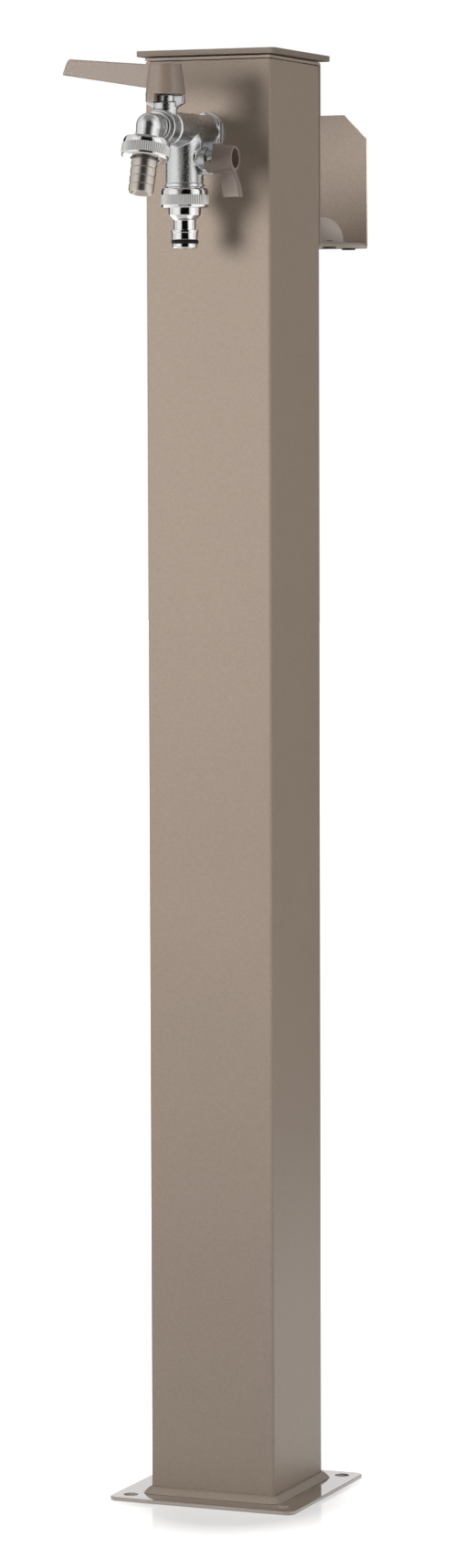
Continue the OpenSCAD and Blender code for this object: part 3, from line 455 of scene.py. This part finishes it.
# the hexagon at the wall is machined bright, between these two places on y
hexagon = {"back": -0.0438, "front": -0.0492, "finish": "washer"}


def onHexagon(face):
    return hexagon["front"] < face.center.y < hexagon["back"]


for node, settings in castings.items():
    skin = castSkin(node, **settings)
    if node == "tap_body":
        refinish(skin, hexagon["finish"], onHexagon)
    print("cast skin", node, len(skin.data.polygons), "faces")

# turned pieces, as the lathe leaves them, in millimetres but for a place. The outline's zero is top away
# from the point of the union, along its axis. A stage is its length, its upper radius and its lower
# radius, outside from start down and inside from the foot up, where its lower radius comes first
nipple = {
    "node": "quick_nipple", "union": "coupling_union_spin", "top": 6.0, "start": -8.3, "sides": 96,
    "edge": 0.25,
    "outside": {
        "flange": (1.5, 12.8, 12.8), "collar": (6.7, 10.1, 10.1), "cone": (3.2, 10.1, 6.9),
        "neck": (6.0, 6.9, 6.9), "ridge": (1.6, 8.6, 8.6), "head": (4.4, 8.1, 8.1),
        "groove": (2.5, 6.1, 6.1), "tip": (2.3, 7.85, 7.85), "tipEdge": (0.7, 7.85, 7.15),
    },
    "inside": {"bore": (28.9, 5.0, 5.0)},
}
outlet = {
    "node": "branch_outlet", "union": "coupling_union_spin", "top": 6.0, "start": 11.3, "sides": 96,
    "edge": 0.25,
    "outside": {
        "plug": (8.4, 7.35, 7.35), "bead": (2.0, 12.3, 12.3), "neck": (1.7, 11.0, 11.0),
        "thread": (6.0, 13.15, 13.15),
    },
    "inside": {"bore": (18.1, 5.0, 5.0)},
}
tail = {
    "node": "hose_tail", "union": "spout_union_spin", "top": 6.1, "start": -8.3, "sides": 96,
    "edge": 0.12, "barbs": 4, "barbTop": 8.15, "barbRoot": 7.7, "taper": 0.1,
    "step": 0.63, "land": 2.2575, "ramp": 2.3625,
    "outside": {"flange": (1.5, 12.8, 12.8), "collar": (2.85, 7.7, 7.7)},
    "inside": {"mouth": (2.6, 6.65, 4.2), "bore": (22.75, 4.2, 4.2)},
}
for i in range(tail["barbs"]):
    drop = i * tail["taper"]
    high, low = tail["barbTop"] - drop, tail["barbRoot"] - drop
    tail["outside"]["step%d" % i] = (tail["step"], low, high)
    tail["outside"]["land%d" % i] = (tail["land"], high, high)
    tail["outside"]["ramp%d" % i] = (tail["ramp"], high, low)
spoutNut = {
    "node": "spout_nut", "union": "spout_union_spin", "top": 6.1, "start": 0.0, "sides": 288,
    "edge": 0.12, "grooves": 72, "grooveDepth": 0.3, "knurlRadius": 15.1, "knurlBand": 0.5,
    "nearRim": 0.01, "upright": 0.5,  # for choosing the rim's vertices and the band's faces
    "outside": {
        "chamfer": (1.4, 13.75, 14.5), "shoulder": (2.6, 14.5, 14.5), "knurl": (6.15, 15.1, 15.1),
        "band": (1.15, 14.5, 14.5), "foot": (0.8, 14.5, 13.7),
    },
    "inside": {"hole": (2.05, 9.1, 9.1), "thread": (10.05, 13.25, 13.25)},
}
couplingNut = dict(spoutNut, node="coupling_nut", union="coupling_union_spin", top=6.0)
couplingNut["inside"] = dict(spoutNut["inside"], hole=(2.05, 10.35, 10.35))
washer = {
    "node": "wall_washer", "place": (0, -0.0425, 0.873), "axis": (0, 1, 0), "start": 0.0, "sides": 96,
    "edge": 0.6,
    "outside": {"rim": (1.5, 12.8, 12.8)},
    "inside": {"hole": (1.5, 10.45, 10.45)},
}


def ringsOf(piece):
    level = piece["start"]
    rings = []
    for length, upper, lower in piece["outside"].values():
        rings += [(level, upper), (level - length, lower)]
        level -= length
    for length, lower, upper in piece["inside"].values():
        rings += [(level, lower), (level + length, upper)]
        level += length
    return rings


def seatOf(piece):
    for joint in frame["joints"]:
        if joint["name"] == piece.get("union"):
            axis = Vector(joint["axis"])
            return Vector(joint["pos_m"]) + axis * piece["top"] * mm, axis
    return Vector(piece["place"]), Vector(piece["axis"])


bevelSteps = 2


# a ring of vertices is drawn out and sized again for each step of the outline, then closed on itself
def turnedPiece(settings):
    rings = ringsOf(settings)
    level, radius = rings[0]
    deselectAll()
    bpy.ops.mesh.primitive_circle_add(vertices=settings["sides"], radius=radius * mm, location=(0, 0, 0),
                                      enter_editmode=True)
    bpy.ops.mesh.select_mode(type="EDGE")
    bpy.ops.mesh.select_all(action="SELECT")
    bpy.ops.transform.translate(value=(0, 0, level * mm))
    for nextLevel, nextRadius in rings[1:] + rings[:1]:
        if (nextLevel, nextRadius) == (level, radius):
            continue
        bpy.ops.mesh.extrude_edges_move(TRANSFORM_OT_translate={"value": (0, 0, (nextLevel - level) * mm)})
        grow = nextRadius / radius
        bpy.ops.transform.resize(value=(grow, grow, 1), center_override=(0, 0, nextLevel * mm))
        level, radius = nextLevel, nextRadius
    bpy.ops.mesh.select_all(action="SELECT")
    bpy.ops.mesh.remove_doubles(threshold=weld["turned"])
    bpy.ops.mesh.normals_make_consistent(inside=False)
    bpy.ops.mesh.select_mode(type="VERT")
    bpy.ops.mesh.select_all(action="DESELECT")
    bpy.ops.object.mode_set(mode="OBJECT")
    piece = bpy.context.object
    piece.name = settings["node"] + "_turned"
    piece.data.materials.append(finishes[finishOf[settings["node"]]])
    if "grooves" in settings:
        cutKnurl(piece, settings)
    roundEdges(piece, settings["edge"] * mm, bevelSteps)
    place, axis = seatOf(settings)
    piece.location = place
    piece.rotation_euler = axis.to_track_quat("Z", "Y").to_euler()
    bpy.ops.object.transform_apply(location=True, rotation=True, scale=True)
    standsFor(piece, settings["node"])
    return piece


# every fourth edge of the knurl band is pulled in to the depth of a groove
def cutKnurl(piece, settings):
    rim = settings["knurlRadius"] * mm
    step = math.tau / settings["sides"]
    every = settings["sides"] // settings["grooves"]
    for vertex in piece.data.vertices:
        atRim = abs(math.hypot(vertex.co.x, vertex.co.y) - rim) < settings["nearRim"] * mm
        vertex.select = atRim and round(math.atan2(vertex.co.y, vertex.co.x) / step) % every == 0
    bpy.ops.object.mode_set(mode="EDIT")
    shrink = 1 - settings["grooveDepth"] * mm / rim
    bpy.ops.transform.resize(value=(shrink, shrink, 1), center_override=(0, 0, 0))
    bpy.ops.object.mode_set(mode="OBJECT")

    def onKnurl(face):
        outer = math.hypot(face.center.x, face.center.y) > rim - settings["knurlBand"] * mm
        return outer and abs(face.normal.z) < settings["upright"]

    refinish(piece, "knurl", onKnurl)


for settings in (nipple, outlet, tail, spoutNut, couplingNut, washer):
    piece = turnedPiece(settings)
    print("turned", piece.name, len(piece.data.polygons), "faces")

# where the camera or shiny metal sees the floor, it glows by itself: less in a patch round the foot, so
# that the shade there shows. Squeeze and shift shape the patch, from and over are where it starts to
# fade and how far that takes. Lengths are in metres, spreads in degrees
studio = {
    "floor": {"size": 24, "colour": (0.9, 0.9, 0.9), "rough": 0.1, "own": 0.3, "ownFar": 0.96,
              "light": 1.6, "squeeze": (1.3, 1.0, 1.0), "shift": (-0.02, 0.03, 0.0), "from": 0.075,
              "over": 0.09},
    "sky": 0.08,
    "backdrop": 1.0,
    "key": {"place": (-0.84, -1.85, 0.82), "aim": (0, -0.04, 0.73), "wide": 0.62, "tall": 0.8,
            "power": 5.05, "spread": 62},
    "fill": {"place": (2.25, -0.5, 0.95), "aim": (0, 0, 0.8), "wide": 1.2, "tall": 0.9, "power": 20.5,
             "spread": 180, "colour": (1.0, 0.95, 0.87)},
    "hanger": {"place": (0.62, -0.02, 0.98), "aim": (0.03, 0.125, 0.868), "wide": 0.05, "tall": 0.05,
               "power": 0.06, "spread": 12},
    "top": {"place": (0.2, -0.5, 2.7), "aim": (0, 0, 0.9), "wide": 1.4, "tall": 1.0, "power": 2,
            "spread": 120},
    "back": {"place": (-1.2, 1.9, 0.85), "aim": (0, 0, 0.6), "wide": 1.0, "tall": 1.0, "power": 11,
             "spread": 100},
}

ground = studio["floor"]
deselectAll()
bpy.ops.mesh.primitive_plane_add(size=ground["size"], location=(0, 0, 0))
floor = bpy.context.object
floor.name = "floor"
g = Graph("floor white")
g.finish(Base_Color=ground["colour"], Roughness=ground["rough"])
rays = g.add("ShaderNodeLightPath").socket.node.outputs
bounced = Wire(g, rays["Is Glossy Ray"]).most(Wire(g, rays["Is Transmission Ray"]))
seen = Wire(g, rays["Is Camera Ray"]).most(bounced)
spot = g.add("ShaderNodeVectorMath", {"operation": "MULTIPLY_ADD"},
             {0: g.place(), 1: ground["squeeze"], 2: ground["shift"]})
away = g.add("ShaderNodeVectorMath", {"operation": "LENGTH"}, {0: spot}, out=1)
far = ((away - ground["from"]) / ground["over"]).most(0.0).least(1.0)
own = far * (ground["ownFar"] - ground["own"]) + ground["own"]
mixed = g.add("ShaderNodeMixShader", sockets={0: seen * own})
g.tree.links.new(g.shader.outputs[0], mixed.socket.node.inputs[1])
g.tree.links.new(g.glow(ground["light"]).socket, mixed.socket.node.inputs[2])
g.tree.links.new(mixed.socket, g.tree.nodes["Material Output"].inputs["Surface"])
floor.data.materials.append(g.material)

# the world lights the object faintly, and the camera and shiny metal see it white
world = bpy.data.worlds.new("studio")
scene.world = world
world.use_nodes = True
tree = world.node_tree
sky = tree.nodes["Background"]
plain = tree.nodes.new("ShaderNodeBackground")
for background, strength in ((sky, studio["sky"]), (plain, studio["backdrop"])):
    background.inputs["Color"].default_value = (1, 1, 1, 1)
    background.inputs["Strength"].default_value = strength
rays = tree.nodes.new("ShaderNodeLightPath")
either = tree.nodes.new("ShaderNodeMath")
either.operation = "MAXIMUM"
tree.links.new(rays.outputs["Is Camera Ray"], either.inputs[0])
tree.links.new(rays.outputs["Is Glossy Ray"], either.inputs[1])
pick = tree.nodes.new("ShaderNodeMixShader")
tree.links.new(either.outputs[0], pick.inputs[0])
tree.links.new(sky.outputs[0], pick.inputs[1])
tree.links.new(plain.outputs[0], pick.inputs[2])
tree.links.new(pick.outputs[0], tree.nodes["World Output"].inputs["Surface"])


def softLamp(name, place, aim, wide, tall, power, spread, colour=(1, 1, 1)):
    lamp = bpy.data.lights.new(name, "AREA")
    lamp.color = colour
    lamp.shape = "RECTANGLE"
    lamp.size = wide
    lamp.size_y = tall
    lamp.energy = power
    lamp.spread = math.radians(spread)
    holder = bpy.data.objects.new(name, lamp)
    scene.collection.objects.link(holder)
    holder.location = place
    holder.rotation_euler = (Vector(aim) - Vector(place)).to_track_quat("-Z", "Y").to_euler()
    holder.visible_glossy = False


for name in ("key", "fill", "hanger", "top", "back"):
    softLamp(name, **studio[name])

# cards that only shiny metal sees. A heading is the way from the column to the card in degrees, with 0
# towards the camera
cards = {
    "card_front": {"heading": 0, "reach": 1.6, "low": 0.02, "high": 3.2, "wide": 1.95, "glow": 0.0},
    "card_behind": {"heading": 180, "reach": 1.1, "low": 0.42, "high": 1.5, "wide": 2.6, "glow": 0.0},
    "card_side": {"heading": 133, "reach": 1.1, "low": 0.02, "high": 1.5, "wide": 0.9, "glow": 0.4},
    "card_left": {"heading": -62, "reach": 1.8, "low": 0.2, "high": 2.2, "wide": 1.3, "glow": 1.3},
    "card_right": {"heading": 60, "reach": 1.8, "low": 0.2, "high": 2.2, "wide": 1.1, "glow": 1.5},
}
toCamera = math.atan2(view["place"][1], view["place"][0])


def shownOnlyInShine(card, name, glow):
    card.name = name
    card.visible_camera = False
    card.visible_diffuse = False
    card.visible_shadow = False
    card.visible_transmission = False
    look = Graph(name)
    look.tree.links.new(look.glow(glow).socket, look.tree.nodes["Material Output"].inputs["Surface"])
    card.data.materials.append(look.material)


def standCard(name, heading, reach, low, high, wide, glow):
    turn = toCamera + math.radians(heading)
    upright = math.radians(90)
    place = (reach * math.cos(turn), reach * math.sin(turn), (low + high) / 2)
    bpy.ops.mesh.primitive_plane_add(size=1, location=place, rotation=(upright, 0, turn + upright))
    card = bpy.context.object
    card.scale = (wide, high - low, 1)
    shownOnlyInShine(card, name, glow)


for name, settings in cards.items():
    standCard(name, **settings)
# two lie flat: one over the column, one below the tap in front of it
flatCards = {
    "card_above": {"place": (0.1, -0.5, 2.3), "wide": 2.0, "glow": 0.35},
    "card_below": {"place": (0.1, -0.81, 0.4), "wide": 1.5, "glow": 0.8},
}
for name, settings in flatCards.items():
    bpy.ops.mesh.primitive_plane_add(size=settings["wide"], location=settings["place"])
    shownOnlyInShine(bpy.context.object, name, settings["glow"])
print("floor, lamps and cards set")
